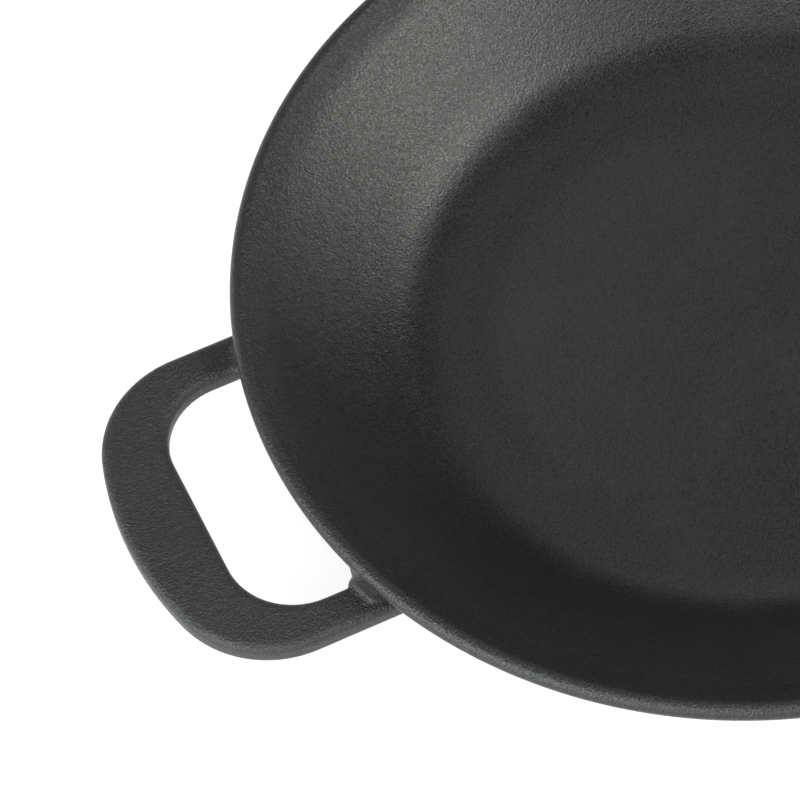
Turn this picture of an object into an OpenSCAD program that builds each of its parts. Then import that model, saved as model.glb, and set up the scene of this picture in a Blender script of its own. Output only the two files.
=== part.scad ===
// Two-handled shallow pan, cast in one pour of iron.
// Units are millimetres. +Z is up and the pan stands on the plane Z = 0.
// The origin is the centre of the underside. The two handles lie along the X axis.

/* [Bowl] */
// Diameter across the outside of the rim
rim_d = 300; // [270:5:330]
// Height from the table to the crest of the rim
pan_h = 37; // [36:1:44]
// Diameter of the flat cooking floor
floor_d = 166; // [156:2:172]
// Thickness of the floor and of the wall
metal_t = 5; // [4:0.5:5]
// Inside radius of the bend between the floor and the wall
bend_r = 45; // [40:1:50]
// Inside radius of the long curve up the wall
wall_r = 400; // [320:20:480]
// Thickness of the round bead along the rim
bead_d = 5.8; // [5.2:0.2:8]

/* [Handles] */
// How far the loop reaches out from the rim
loop_reach = 46.7; // [40:0.1:54]
// Width across the two arms of the loop
loop_w = 106; // [96:1:116]
// Width of the grip bar, measured away from the pan
bar_w = 22.9; // [18:0.1:26]
// Width of each arm
arm_w = 12.5; // [10:0.5:15]
// Thickness of the loop
loop_t = 7.5; // [6:0.5:9]
// Height of the loop's top face below the crest of the rim
loop_drop = 12; // [10:0.5:13]
// Radius of the loop's outside corners
corner_out_r = 33; // [26:1:38]
// Radius of the loop's inside corners
corner_in_r = 21; // [16:1:24]
// Radius of the long curve on the outside of the grip bar
crown_r = 105; // [90:5:160]
// Rounding of the loop's long edges
edge_r = 2; // [1:0.25:2.5]

/* [Roots] */
// How far the foot of a root's sweep stays inside the edge of the rim
root_inset = 1.5; // [0.5:0.5:3]

/* [Hidden] */

IRON = [0.16, 0.16, 0.165];
EXTRA = 1;                 // reach past a face that is cut
SINK = 1;                  // depth of a root inside the wall
WALL_STEPS = 8;            // steps along the wall's curve

// bowl section, drawn in the plane of radius and height
rim_r = rim_d / 2;
floor_r = floor_d / 2;
bead_r = bead_d / 2;
bead_at = [rim_r - bead_r, pan_h - bead_r];
bend_at = [floor_r, metal_t + bend_r];
// the wall's curve carries on from the bend and ends where it touches the bead, so its centre
// lies bend_gap from the bend's centre and bead_gap from the bead's
bend_to_bead = norm(bead_at - bend_at);
toward_bead = (bead_at - bend_at) / bend_to_bead;
bend_gap = wall_r - bend_r;
bead_gap = wall_r + bead_r;
along = (pow(bend_gap, 2) - pow(bead_gap, 2) + pow(bend_to_bead, 2)) / (2 * bend_to_bead);
aside = sqrt(pow(bend_gap, 2) - pow(along, 2));
wall_at = bend_at + along * toward_bead + aside * [-toward_bead[1], toward_bead[0]];
turn_a = atan2(bend_at[1] - wall_at[1], bend_at[0] - wall_at[0]);
end_a = atan2(bead_at[1] - wall_at[1], bead_at[0] - wall_at[0]);

// loop, drawn in plan with the pan's centre at the origin
loop_x = rim_r + loop_reach;
hole_x = loop_x - bar_w;
hole_w = loop_w - 2 * arm_w;
loop_top = pan_h - loop_drop;
loop_low = loop_top - loop_t;
edge_steps = [0, 45, 90];  // stations round a rounded edge

// roots
root_top = pan_h - bead_d;
root_r = rim_r - root_inset;
sink_in = SINK / cos(end_a);   // the same depth, measured level

// points on an arc round centre c, from angle a to angle b
function arc(c, r, a, b, n = 8) =
    [for (i = [0 : n]) let (t = a + (b - a) * i / n) c + r * [cos(t), sin(t)]];
// radius of the wall's outside at height z
function skin_r(z) = wall_at[0] + sqrt(pow(wall_r + metal_t, 2) - pow(wall_at[1] - z, 2));
// inset and height of a rounded edge at angle a, below the face it meets
function edge_inset(a) = edge_r * (1 - sin(a));
function edge_depth(a) = edge_r * (1 - cos(a));

// bend and wall together, at depth t below the inside
function skin(t) = concat(
    arc(bend_at, bend_r + t, -90, turn_a),
    [for (i = [1 : WALL_STEPS]) let (a = turn_a + (end_a - turn_a) * i / WALL_STEPS)
        wall_at + (wall_r + t) * [cos(a), sin(a)]]
);
// the same points in the opposite order
function reversed(points) = [for (i = [len(points) - 1 : -1 : 0]) points[i]];

module bowl_section() {
    polygon(concat([[0, 0]], skin(metal_t), reversed(skin(0)), [[0, metal_t]]));
    translate(bead_at) circle(bead_r, $fn = 72);
}

module pan_body() {
    color(IRON) rotate_extrude($fn = 180) bowl_section();
}

// outside of the loop in plan, moved in by inset: two arms, a crown, and corners that touch both
module loop_outline(inset) {
    half = loop_w / 2 - inset;
    r = corner_out_r - inset;
    crown = crown_r - inset;
    crown_x = loop_x - crown_r;
    corner = [crown_x + sqrt(pow(crown - r, 2) - pow(half - r, 2)), half - r];
    tip_a = atan2(corner[1], corner[0] - crown_x);
    side = concat(arc([crown_x, 0], crown, 0, tip_a, 12), arc(corner, r, tip_a, 90, 16));
    polygon(concat(
        [[0, -half]],
        [for (i = [len(side) - 1 : -1 : 1]) [side[i][0], -side[i][1]]],
        side,
        [[0, half]]
    ));
}

// finger hole in plan, grown by grow
module hole_outline(grow) {
    half = hole_w / 2 + grow;
    r = corner_in_r + grow;
    x = hole_x + grow;
    translate([0, -half + r]) square([x, 2 * (half - r)]);
    translate([0, -half]) square([x - r, 2 * half]);
    for (s = [-1, 1]) translate([x - r, s * (half - r)]) circle(r, $fn = 64);
}

// an outline drawn up from height z_low to height z_high
module slab(z_low, z_high) {
    translate([0, 0, z_low]) linear_extrude(z_high - z_low) children();
}

// the whole loop as a slab with rounded long edges
module loop_slab() {
    hull() for (a = edge_steps)
        slab(loop_low + edge_depth(a), loop_top - edge_depth(a)) loop_outline(edge_inset(a));
}

// a step of the flare round the hole's top edge, from station a to station b
module flare(a, b) {
    hull() {
        slab(loop_top - edge_depth(a), loop_top + EXTRA) hole_outline(edge_inset(a));
        slab(loop_top - edge_depth(b), loop_top) hole_outline(edge_inset(b));
    }
}

// the finger hole, flared where it meets the top and the bottom face
module finger_hole() {
    slab(loop_low - EXTRA, loop_top + EXTRA) hole_outline(0);
    for (i = [1 : len(edge_steps) - 1]) {
        flare(edge_steps[i - 1], edge_steps[i]);
        translate([0, 0, loop_top + loop_low]) mirror([0, 0, 1])
            flare(edge_steps[i - 1], edge_steps[i]);
    }
}

// everything inside the pan's outer skin, less the depth that a root sinks in
module inside_skin() {
    z_low = loop_low - EXTRA;
    z_top = root_top + EXTRA;
    translate([0, 0, z_low]) cylinder(
        h = z_top - z_low, r1 = skin_r(z_low) - sink_in, r2 = skin_r(z_top) - sink_in, $fn = 180);
}

// section of a root: it sweeps up from the loop's top face to the underside of the bead
module root_section() {
    z_low = loop_low + edge_r;
    lap_z = loop_top - edge_r / 2;
    inner_r = skin_r(z_low) - sink_in;
    run = root_r - skin_r(root_top);
    polygon(concat(
        [[inner_r, z_low], [root_r, z_low]],
        [for (a = [0 : 15 : 90]) [root_r - run * sin(a), lap_z + (root_top - lap_z) * (1 - cos(a))]],
        [[inner_r, root_top]]
    ));
}

module root(side) {
    mid_y = side * (loop_w - arm_w) / 2;
    intersection() {
        rotate(asin(mid_y / rim_r))
            translate([0, arm_w, 0]) rotate([90, 0, 0]) linear_extrude(2 * arm_w) root_section();
        translate([0, mid_y - arm_w / 2, loop_low]) cube([loop_x, arm_w, root_top]);
    }
}

module loop_handle() {
    difference() {
        union() {
            difference() {
                loop_slab();
                finger_hole();
            }
            for (side = [-1, 1]) root(side);
        }
        inside_skin();
    }
}

module right_handle() {
    color(IRON) loop_handle();
}

module left_handle() {
    color(IRON) rotate(180) loop_handle();
}

pan_body();
left_handle();
right_handle();
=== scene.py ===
# Two-handled cast iron pan: its looks, lights and camera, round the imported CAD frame. Metres, +Z up.
import math

import bmesh
import bpy
import numpy as np
from mathutils import Matrix, Vector


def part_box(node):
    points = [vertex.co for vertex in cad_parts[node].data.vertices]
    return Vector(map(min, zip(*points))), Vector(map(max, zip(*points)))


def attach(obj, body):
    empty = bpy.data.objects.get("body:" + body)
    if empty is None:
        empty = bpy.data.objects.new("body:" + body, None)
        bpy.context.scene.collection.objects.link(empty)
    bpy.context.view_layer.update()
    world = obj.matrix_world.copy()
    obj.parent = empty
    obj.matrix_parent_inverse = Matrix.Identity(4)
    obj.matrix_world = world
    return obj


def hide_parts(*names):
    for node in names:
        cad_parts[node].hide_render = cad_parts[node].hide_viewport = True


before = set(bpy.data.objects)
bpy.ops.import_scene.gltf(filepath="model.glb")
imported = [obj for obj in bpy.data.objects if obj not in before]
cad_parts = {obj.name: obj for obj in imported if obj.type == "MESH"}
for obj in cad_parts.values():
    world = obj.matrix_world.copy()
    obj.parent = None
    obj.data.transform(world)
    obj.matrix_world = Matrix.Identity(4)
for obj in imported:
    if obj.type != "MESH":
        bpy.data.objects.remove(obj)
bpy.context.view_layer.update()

# ---------------------------------------------------------------- sizes from the frame
BODY = "pan"
PAN_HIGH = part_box("pan_body")[1]
LOOP_LOW, LOOP_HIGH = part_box("right_handle")
RIM_R = PAN_HIGH.x
PAN_H = PAN_HIGH.z
LOOP_BOTTOM = LOOP_LOW.z
LOOP_X = LOOP_HIGH.x       # how far out a loop reaches
LOOP_HALF = LOOP_HIGH.y    # half of a loop's length along the rim

# ---------------------------------------------------------------- the bowl's own sizes
TURNS = 512                # steps round the bowl
BEAD_R = 0.0029            # rim bead, half its thickness
METAL_T = 0.005            # floor and wall
FLOOR_R = 0.083            # flat of the cooking floor
BEND_R = 0.045             # inside of the bend between floor and wall
WALL_R = 0.400             # inside of the long curve up the wall
EASE_H = 0.0007            # height of the soft swell where the floor meets the bend
EASE_AT = 0.086            # its radius
EASE_W = 0.009             # and its half width
INSIDE_SHORT = 0.0012      # how far short of the bead's crest the wall's inside stops
OUTSIDE_SHORT = 0.0036     # and its outside
LIP_SHORT = 0.0028         # where one last point eases the outside into the bead
LIP_IN = 0.0001            # how far in that point lies
BEAD_FROM = 0.12           # where the bead's round starts past the wall's end, in radians

# the wall's curve runs on from the bend and touches the bead from inside
BEAD_AT = np.array((RIM_R - BEAD_R, PAN_H - BEAD_R))
BEND_AT = np.array((FLOOR_R, METAL_T + BEND_R))
SPAN = np.hypot(*(BEAD_AT - BEND_AT))
TOWARD = (BEAD_AT - BEND_AT) / SPAN
ALONG = ((WALL_R - BEND_R) ** 2 - (WALL_R + BEAD_R) ** 2 + SPAN ** 2) / (2 * SPAN)
ASIDE = math.sqrt((WALL_R - BEND_R) ** 2 - ALONG ** 2)
WALL_AT = BEND_AT + ALONG * TOWARD + ASIDE * np.array((-TOWARD[1], TOWARD[0]))
TURN_A = math.atan2(*(BEND_AT - WALL_AT)[::-1])
END_A = math.atan2(*(BEAD_AT - WALL_AT)[::-1])

# ---------------------------------------------------------------- the loops' own sizes
LOOP_T = 0.0075            # thickness of a loop
LOOP_TOP = LOOP_BOTTOM + LOOP_T
ARM_W = 0.0125             # width of a loop's arm
BAR_W = 0.0229             # width of a loop's grip bar
CORNER_OUT = 0.033         # outside corners of a loop
CORNER_IN = 0.021          # inside corners of a loop
CROWN_R = 0.105            # long curve along the outside of the grip bar
EDGE_IN = 0.0031           # how far a loop's edge rounding runs in
EDGE_DOWN = 0.0022         # and down
ROOT_DEPTH = 0.0022        # how deep a loop's roots stop inside the wall
ROOT_FREE = 0.002          # how far outside the rim a loop is back on its own outline
PAD_FILLET = 0.0020        # hollow between a root pad and the top of its arm
PAD_FLANK = 0.0003         # how far inside the rim a root pad's face stands
PAD_FOOT = 0.0006          # how deep a root pad stands in its arm
PAD_SINK = 0.0001          # how deep its top lies in the bead
PAD_PAST_ARM = 0.0036      # how far a root pad spreads past the arm's inside edge
PAD_SHORT = 0.0012         # how far short of the arm's outside edge it stops
PAD_FADE = 0.27            # share of a root pad's length over which each end fades
PAD_LEAST = 0.12           # share of its thickness that is left at its very ends
PAD_SWELL = 2.6            # how quickly it comes up from there: 1 is a straight slope
MELT_VOXEL = 0.0004        # grid that a loop's solids are melted together on
MELT_PASSES = 12           # rounds of smoothing after it

# ---------------------------------------------------------------- the iron's finish
WEAR_LOW, WEAR_HIGH = METAL_T + 0.0005, METAL_T + 0.010    # heights between which wear ends
RIM_LOW, RIM_HIGH = PAN_H - 2.2 * BEAD_R, PAN_H - BEAD_R   # heights between which the rim begins
WAVE_H = 0.0012            # bump heights
PIT_H = 0.00010
PEBBLE_H = 0.00022
NOISE_LOW, NOISE_HIGH = 0.3, 0.7                 # the range that most of a noise lies in

# ---------------------------------------------------------------- camera, floor and lights
AZIMUTH, ELEVATION, ROLL = -19.50, 57.55, -6.21
CAMERA_AWAY = 10.0 * RIM_R
CAMERA_LENS = 234.0
AIM_RIGHT = -0.6893 * RIM_R
AIM_AWAY = -0.2171 * RIM_R
FLOOR_SIZE = 40.0
FLOOR_GLOW = 0.82          # brightness of the white floor before the lights reach it
HORIZON_GLOW = FLOOR_GLOW + 0.05
SKY_GLOW = 0.04
HORIZON_LOW, HORIZON_HIGH = 4.5, 8.0             # degrees over which the pale horizon fades out
LIGHT_AWAY = 2.0           # from the pan to every softbox
LIGHT_AIM = Vector((0, 0, 0.02))
NEUTRAL, WARM, COOL = (1.0, 1.0, 1.0), (1.0, 1.0, 0.955), (0.97, 1.0, 1.035)

MIX_A, MIX_B, MIX_RESULT = 6, 7, 2               # a Mix node's colour sockets, which share names


# ---------------------------------------------------------------- curves
def on_circle(centre, radius, angle):
    """The point on a circle at an angle in radians."""
    return np.asarray(centre) + np.array((math.cos(angle), math.sin(angle))) * radius


def arc(centre, radius, start, end, steps):
    """Points on an arc in a plane, angles in radians."""
    t = np.linspace(start, end, steps)
    return np.asarray(centre) + np.column_stack((np.cos(t), np.sin(t))) * radius


def straight(start, end, steps):
    """Points on a line, without its ends."""
    t = np.linspace(0, 1, steps + 2)[1:-1, None]
    return np.asarray(start) * (1 - t) + np.asarray(end) * t


def skin_r(z):
    """Radius of the wall's outside at height z."""
    return WALL_AT[0] + math.sqrt((WALL_R + METAL_T) ** 2 - (WALL_AT[1] - z) ** 2)


# ---------------------------------------------------------------- meshes
def new_piece(name, verts, faces):
    """A smooth mesh that rides on the pan's body."""
    mesh = bpy.data.meshes.new(name)
    mesh.from_pydata([tuple(v) for v in verts], [], [tuple(f) for f in faces])
    mesh.validate()
    piece = bpy.data.objects.new(name, mesh)
    bpy.context.scene.collection.objects.link(piece)
    bm = bmesh.new()
    bm.from_mesh(mesh)
    bmesh.ops.recalc_face_normals(bm, faces=bm.faces)
    bm.to_mesh(mesh)
    bm.free()
    mesh.shade_smooth()
    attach(piece, BODY)
    return piece


def grid_faces(rings, count):
    """Quads between neighbouring rings of count points each; every ring closes on itself."""
    faces = []
    for a in range(0, (rings - 1) * count, count):
        b = a + count
        for j in range(count):
            k = (j + 1) % count
            faces.append((a + j, a + k, b + k, b + j))
    return faces


def add_tube(verts, faces, rings):
    """Adds a closed solid made of rings with the same number of points, capped at both ends."""
    first, count = len(verts), len(rings[0])
    last = first + (len(rings) - 1) * count
    for ring in rings:
        verts.extend(list(p) for p in ring)
    faces.extend(tuple(first + i for i in f) for f in grid_faces(len(rings), count))
    faces.append(tuple(first + i for i in range(count))[::-1])
    faces.append(tuple(last + i for i in range(count)))


def melt(piece):
    """Joins overlapping solids into one skin and eases its inside corners, as a casting's are."""
    remesh = piece.modifiers.new("melt", "REMESH")
    remesh.mode = "VOXEL"
    remesh.voxel_size = MELT_VOXEL
    remesh.use_smooth_shade = True
    ease = piece.modifiers.new("ease", "SMOOTH")
    ease.factor = 0.5
    ease.iterations = MELT_PASSES
    graph = bpy.context.evaluated_depsgraph_get()
    mesh = bpy.data.meshes.new_from_object(piece.evaluated_get(graph))
    piece.modifiers.clear()
    piece.data = mesh
    mesh.shade_smooth()


# ---------------------------------------------------------------- bowl
def bowl_section():
    """The bowl's section as (radius, height), from the underside's middle round the rim to the
    cooking floor's middle. The two middle points themselves are left out."""
    outer = WALL_R + METAL_T
    inside = np.vstack((
        arc(WALL_AT, WALL_R, END_A - INSIDE_SHORT / WALL_R, TURN_A, 44),
        arc(BEND_AT, BEND_R, TURN_A, -math.pi / 2, 34)[1:],
        straight((FLOOR_R, METAL_T), (0, METAL_T), 70)))
    inside[:, 1] += EASE_H * np.exp(-((inside[:, 0] - EASE_AT) / EASE_W) ** 2)
    return np.vstack((
        straight((0, 0), (FLOOR_R, 0), 24),
        arc(BEND_AT, BEND_R + METAL_T, -math.pi / 2, TURN_A, 22),
        arc(WALL_AT, outer, TURN_A, END_A - OUTSIDE_SHORT / outer, 22)[1:],
        on_circle(WALL_AT, outer - LIP_IN, END_A - LIP_SHORT / outer),
        arc(BEAD_AT, BEAD_R, END_A + BEAD_FROM, END_A + math.pi, 40),
        inside))


def make_bowl():
    """The section turned round the Z axis, with a fan of triangles in the middle of each face."""
    section = bowl_section()
    a = np.linspace(0, 2 * math.pi, TURNS, endpoint=False)
    ring = np.column_stack((np.cos(a), np.sin(a)))
    verts = [(r * c, r * s, z) for r, z in section for c, s in ring]
    faces = grid_faces(len(section), TURNS)
    under, floor = len(verts), len(verts) + 1
    verts += [(0, 0, 0), (0, 0, METAL_T)]
    last = (len(section) - 1) * TURNS
    faces += [(under, (j + 1) % TURNS, j) for j in range(TURNS)]
    faces += [(floor, last + j, last + (j + 1) % TURNS) for j in range(TURNS)]
    bowl = new_piece("bowl", verts, faces)
    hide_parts("pan_body")
    return bowl


# ---------------------------------------------------------------- loops
def loop_edges():
    """Matching points along the inside and the outside of the loop at +X in plan, from one root
    round the grip bar to the other."""
    hole_half = LOOP_HALF - ARM_W
    hole_x = LOOP_X - BAR_W
    crown_x = LOOP_X - CROWN_R
    out_y, in_y = LOOP_HALF - CORNER_OUT, hole_half - CORNER_IN
    out_x = crown_x + math.sqrt((CROWN_R - CORNER_OUT) ** 2 - out_y ** 2)
    in_x = hole_x - CORNER_IN
    tip = math.atan2(out_y, out_x - crown_x)
    start = LOOP_LOW.x
    outer = np.vstack((
        straight((start, LOOP_HALF), (out_x, LOOP_HALF), 44),
        arc((out_x, out_y), CORNER_OUT, math.pi / 2, tip, 36),
        arc((crown_x, 0), CROWN_R, tip, 0, 24)[1:]))
    inner = np.vstack((
        straight((start, hole_half), (in_x, hole_half), 44),
        arc((in_x, in_y), CORNER_IN, math.pi / 2, 0, 36),
        straight((hole_x, in_y), (hole_x, 0), 22), [(hole_x, 0)]))
    flip = np.array((1, -1))
    return np.vstack((inner, inner[-2::-1] * flip)), np.vstack((outer, outer[-2::-1] * flip))


def loop_ring(inner, outer):
    """A loop's section between an inside and an outside point: flat top and bottom, round edges."""
    across = outer - inner
    width = np.hypot(*across)
    across = across / width
    middle, half = (LOOP_TOP + LOOP_BOTTOM) / 2, LOOP_T / 2
    corner = [(EDGE_IN * (1 - math.sin(t)), half - EDGE_DOWN * (1 - math.cos(t)))
              for t in np.linspace(0, math.pi / 2, 8)]
    flat = [(s, half) for s in np.linspace(EDGE_IN, width - EDGE_IN, 10)[1:-1]]
    top = corner[::-1] + flat + [(width - s, z) for s, z in corner]
    ring = top + [(s, -z) for s, z in top[::-1]]
    return [(*(inner + across * s), middle + z) for s, z in ring]


def sink_in(verts):
    """Stretches a loop's ends so that they stop inside the wall, all at the same depth."""
    start, free = LOOP_LOW.x, RIM_R + ROOT_FREE
    for v in verts:
        if v[0] < free:
            begin = math.sqrt(max((skin_r(v[2]) - ROOT_DEPTH) ** 2 - v[1] ** 2, 0))
            v[0] = begin + (v[0] - start) / (free - start) * (free - begin)


def root_pad(side):
    """The metal that fills the corner between a loop's arm and the bead, as rings of points. It
    fades into the wall at both ends."""
    flank = RIM_R - PAD_FLANK
    foot, under = LOOP_TOP - PAD_FOOT, PAN_H - 2 * BEAD_R
    section = np.vstack((
        arc(BEAD_AT, BEAD_R - PAD_SINK, math.radians(10), math.radians(-20), 6),
        arc((flank + PAD_FILLET, LOOP_TOP + PAD_FILLET), PAD_FILLET, math.pi, math.pi * 1.46, 9),
        [(flank + PAD_FILLET, foot),
         (skin_r(foot) - ROOT_DEPTH, foot),
         (skin_r(under) - ROOT_DEPTH, under)]))
    low = math.asin((LOOP_HALF - ARM_W - PAD_PAST_ARM) / RIM_R)
    high = math.asin((LOOP_HALF - PAD_SHORT) / RIM_R)
    rings = []
    for t in np.linspace(0, 1, 25):
        end = min(1, min(t, 1 - t) / PAD_FADE)   # 0 at an end, 1 along the middle
        full = PAD_LEAST + (1 - PAD_LEAST) * (1 - (1 - end) ** PAD_SWELL)
        a = low + (high - low) * t
        ring = []
        for r, z in section:
            back = skin_r(z) - ROOT_DEPTH
            r = back + (r - back) * full
            ring.append((r * math.cos(a), side * r * math.sin(a), z))
        rings.append(ring)
    return rings


def make_loop(name, node, turn):
    """One loop handle with its two root pads, turned about Z to its side of the pan."""
    verts, faces = [], []
    inner, outer = loop_edges()
    add_tube(verts, faces, [loop_ring(i, o) for i, o in zip(inner, outer)])
    sink_in(verts)
    for side in (-1, 1):
        add_tube(verts, faces, root_pad(side))
    spin = Matrix.Rotation(turn, 3, "Z")
    loop = new_piece(name, [spin @ Vector(v) for v in verts], faces)
    melt(loop)
    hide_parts(node)
    return loop


# ---------------------------------------------------------------- materials
def dial(node, values):
    """Sets a node's sockets by name."""
    for key, value in values.items():
        node.inputs[key].default_value = value


class Nodes:
    """Adds and links the shader nodes of one material."""

    def __init__(self, name):
        self.mat = bpy.data.materials.new(name)
        self.mat.use_nodes = True
        self.tree = self.mat.node_tree
        self.bsdf = self.tree.nodes["Principled BSDF"]
        self.place = self.add("ShaderNodeTexCoord").outputs["Object"]
        split = self.add("ShaderNodeSeparateXYZ")
        self.join(self.place, split.inputs["Vector"])
        self.height = split.outputs["Z"]

    def add(self, kind, **settings):
        node = self.tree.nodes.new(kind)
        for key, value in settings.items():
            setattr(node, key, value)
        return node

    def join(self, a, b):
        self.tree.links.new(a, b)

    def noise(self, scale, detail=2.0, rough=0.5):
        node = self.add("ShaderNodeTexNoise")
        self.join(self.place, node.inputs["Vector"])
        dial(node, {"Scale": scale, "Detail": detail, "Roughness": rough})
        return node.outputs["Fac"]

    def ramp(self, source, low, high, out_low, out_high):
        node = self.add("ShaderNodeMapRange")
        self.join(source, node.inputs["Value"])
        dial(node, {"From Min": low, "From Max": high, "To Min": out_low, "To Max": out_high})
        return node.outputs["Result"]

    def maths(self, operation, a, b):
        node = self.add("ShaderNodeMath", operation=operation)
        for socket, value in zip(node.inputs, (a, b)):
            if isinstance(value, (int, float)):
                socket.default_value = value
            else:
                self.join(value, socket)
        return node.outputs["Value"]

    def tint(self, colour, amount):
        node = self.add("ShaderNodeMix", data_type="RGBA", blend_type="MULTIPLY")
        dial(node, {"Factor": 1.0})
        node.inputs[MIX_A].default_value = (*colour, 1)
        self.join(amount, node.inputs[MIX_B])
        return node.outputs[MIX_RESULT]

    def bump(self, height, distance, normal=None):
        node = self.add("ShaderNodeBump")
        dial(node, {"Distance": distance, "Strength": 1.0})
        self.join(height, node.inputs["Height"])
        if normal is not None:
            self.join(normal, node.inputs["Normal"])
        return node.outputs["Normal"]


def seasoned_iron(name, grain, tone, rough, smooth_floor=1.0, rim_grain=0.0):
    """Sand-cast iron under baked-on oil: a fine pebble grain, soft patches, a satin dark coat. Near
    the cooking floor the grain is worn down to smooth_floor of its height; on the rim it is rougher
    by rim_grain."""
    n = Nodes(name)
    pebbles = n.noise(1400, detail=2.5, rough=0.6)         # the mould's sand
    pits = n.noise(520, detail=1.5)                        # wider dimples in it
    gloss = n.noise(1900, detail=1.0)                      # specks of shinier and duller oil
    patches = n.noise(26, detail=4, rough=0.6)             # uneven seasoning
    waves = n.noise(9, detail=1.0)                         # the casting's slow unevenness

    rim = n.ramp(n.height, RIM_LOW, RIM_HIGH, 0.0, 1.0)
    worn = n.ramp(n.height, WEAR_LOW, WEAR_HIGH, smooth_floor, 1.0)
    worn = n.maths("ADD", worn, n.maths("MULTIPLY", rim, rim_grain))
    normal = n.bump(waves, WAVE_H)
    normal = n.bump(n.maths("MULTIPLY", pits, worn), PIT_H * grain, normal)
    normal = n.bump(n.maths("MULTIPLY", pebbles, worn), PEBBLE_H * grain, normal)
    n.join(normal, n.bsdf.inputs["Normal"])

    shade = n.ramp(patches, NOISE_LOW, NOISE_HIGH, 0.88, 1.12)
    speck = n.ramp(pebbles, 0.3, 0.75, 0.8, 1.25)
    n.join(n.tint(tone, n.maths("MULTIPLY", shade, speck)), n.bsdf.inputs["Base Color"])

    soft = n.ramp(patches, NOISE_LOW, NOISE_HIGH, rough - 0.03, rough + 0.03)
    sparkle = n.ramp(gloss, NOISE_LOW, NOISE_HIGH, -0.18, 0.18)
    matt = n.maths("MULTIPLY", rim, 0.05 * rim_grain)
    n.join(n.maths("ADD", n.maths("ADD", soft, sparkle), matt), n.bsdf.inputs["Roughness"])
    dial(n.bsdf, {"Metallic": 0.0, "IOR": 1.5, "Specular IOR Level": 0.5})
    return n.mat


def coat(piece, material):
    piece.data.materials.clear()
    piece.data.materials.append(material)


# ---------------------------------------------------------------- camera
def level_axes():
    """Level directions to the camera's right and straight away from it."""
    a = math.radians(AZIMUTH)
    return Vector((math.cos(a), math.sin(a), 0)), Vector((-math.sin(a), math.cos(a), 0))


def make_camera():
    """Looks down on the pan from close to the left handle, so that its right half is out of view."""
    elevation, roll = math.radians(ELEVATION), math.radians(ROLL)
    right, away = level_axes()
    back = Vector((0, 0, math.sin(elevation))) - away * math.cos(elevation)
    rolled = right * math.cos(roll) + back.cross(right) * math.sin(roll)
    turned = Matrix((rolled, back.cross(rolled), back)).transposed()
    aim = Vector((0, 0, BEAD_AT[1])) + right * AIM_RIGHT + away * AIM_AWAY
    data = bpy.data.cameras.new("camera")
    data.sensor_width = 36.0
    data.lens = CAMERA_LENS
    data.clip_start = 0.1
    data.clip_end = 50.0
    cam = bpy.data.objects.new("camera", data)
    bpy.context.scene.collection.objects.link(cam)
    cam.matrix_world = Matrix.Translation(aim + back * CAMERA_AWAY) @ turned.to_4x4()
    bpy.context.scene.camera = cam


# ---------------------------------------------------------------- floor and light
def make_floor():
    """A plain white floor that glows a little, so that only a faint shadow shows on it."""
    size = FLOOR_SIZE
    mesh = bpy.data.meshes.new("floor")
    corners = [(-size, -size, 0), (size, -size, 0), (size, size, 0), (-size, size, 0)]
    mesh.from_pydata(corners, [], [(0, 1, 2, 3)])
    floor = bpy.data.objects.new("floor", mesh)
    bpy.context.scene.collection.objects.link(floor)
    mat = bpy.data.materials.new("studio_floor")
    mat.use_nodes = True
    dial(mat.node_tree.nodes["Principled BSDF"], {
        "Base Color": (0.3, 0.3, 0.3, 1), "Roughness": 0.8,
        "Emission Color": (1, 1, 1, 1), "Emission Strength": FLOOR_GLOW})
    mesh.materials.append(mat)


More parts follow.
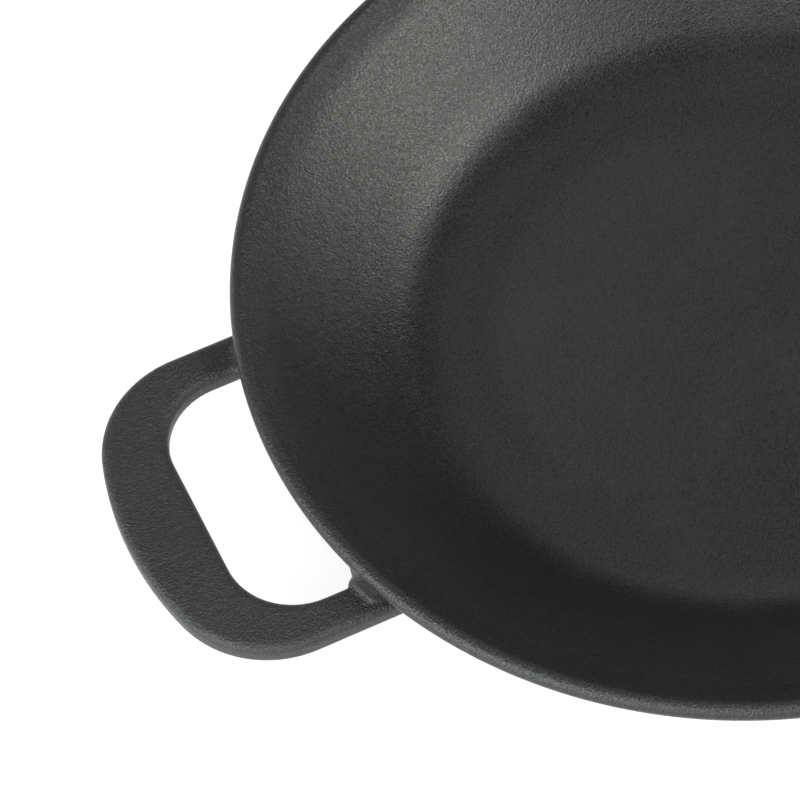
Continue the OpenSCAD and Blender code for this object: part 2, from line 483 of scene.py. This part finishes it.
def make_world():
    """Dim all round, with a pale band along the horizon that carries the floor on out of sight."""
    world = bpy.data.worlds.new("studio")
    world.use_nodes = True
    tree = world.node_tree
    back = tree.nodes["Background"]
    back.inputs["Color"].default_value = (1, 1, 1, 1)
    where = tree.nodes.new("ShaderNodeTexCoord")
    split = tree.nodes.new("ShaderNodeSeparateXYZ")
    fade = tree.nodes.new("ShaderNodeMapRange")
    fade.interpolation_type = "SMOOTHSTEP"
    low, high = (math.sin(math.radians(a)) for a in (HORIZON_LOW, HORIZON_HIGH))
    dial(fade, {"From Min": low, "From Max": high, "To Min": HORIZON_GLOW, "To Max": SKY_GLOW})
    tree.links.new(where.outputs["Generated"], split.inputs["Vector"])
    tree.links.new(split.outputs["Z"], fade.inputs["Value"])
    tree.links.new(fade.outputs["Result"], back.inputs["Strength"])
    bpy.context.scene.world = world


def compass(azimuth, elevation):
    """A direction in degrees: the azimuth turns from the camera's right to straight away from it."""
    azimuth, elevation = math.radians(azimuth), math.radians(elevation)
    right, away = level_axes()
    level = right * math.cos(azimuth) + away * math.sin(azimuth)
    return level * math.cos(elevation) + Vector((0, 0, math.sin(elevation)))


def softbox(name, direction, size, brightness, colour=NEUTRAL):
    """A rectangular soft light aimed at the pan, its power set from the brightness of its face."""
    place = direction * LIGHT_AWAY
    data = bpy.data.lights.new(name, "AREA")
    data.shape = "RECTANGLE"
    data.size, data.size_y = size
    data.energy = math.pi * size[0] * size[1] * brightness
    data.color = colour
    light = bpy.data.objects.new(name, data)
    light.location = place
    light.rotation_euler = (LIGHT_AIM - place).to_track_quat("-Z", "Y").to_euler()
    bpy.context.scene.collection.objects.link(light)


def make_lights():
    """Each softbox by its direction, its width and height, and the brightness of its face."""
    softbox("key", compass(-12, 48.5), (1.95, 0.65), 8.1, WARM)
    softbox("overhead_left", compass(126, 62), (0.9, 0.6), 2.05)
    softbox("far", compass(98, 43), (1.3, 0.5), 1.2)
    softbox("low_left", compass(203, 20), (1.4, 0.7), 10.5, COOL)
    softbox("near_left", compass(240, 34), (2.2, 1.4), 4.2, COOL)
    softbox("near", compass(285, 52), (1.0, 0.8), 1.8, COOL)
    bpy.context.scene.view_settings.view_transform = "Standard"


# ---------------------------------------------------------------- the scene
make_camera()
make_floor()
make_world()
make_lights()
bowl_iron = seasoned_iron("bowl_iron", grain=0.95, tone=(0.0125, 0.0128, 0.0127), rough=0.30,
                          smooth_floor=0.5, rim_grain=1.0)
# The loops' iron is the bowl's iron with a lighter, slightly bluer tone. That tone is painted light:
# it stands in for the extra cool light the handles catch. Their coarser grain and their roughness are
# the iron's own.
loop_iron_painted_lighter = seasoned_iron("loop_iron_painted_lighter", grain=2.5, tone=(0.0165, 0.0170, 0.0176), rough=0.35)
coat(make_bowl(), bowl_iron)
coat(make_loop("loop_right", "right_handle", 0.0), loop_iron_painted_lighter)
coat(make_loop("loop_left", "left_handle", math.pi), loop_iron_painted_lighter)

bpy.context.view_layer.update()
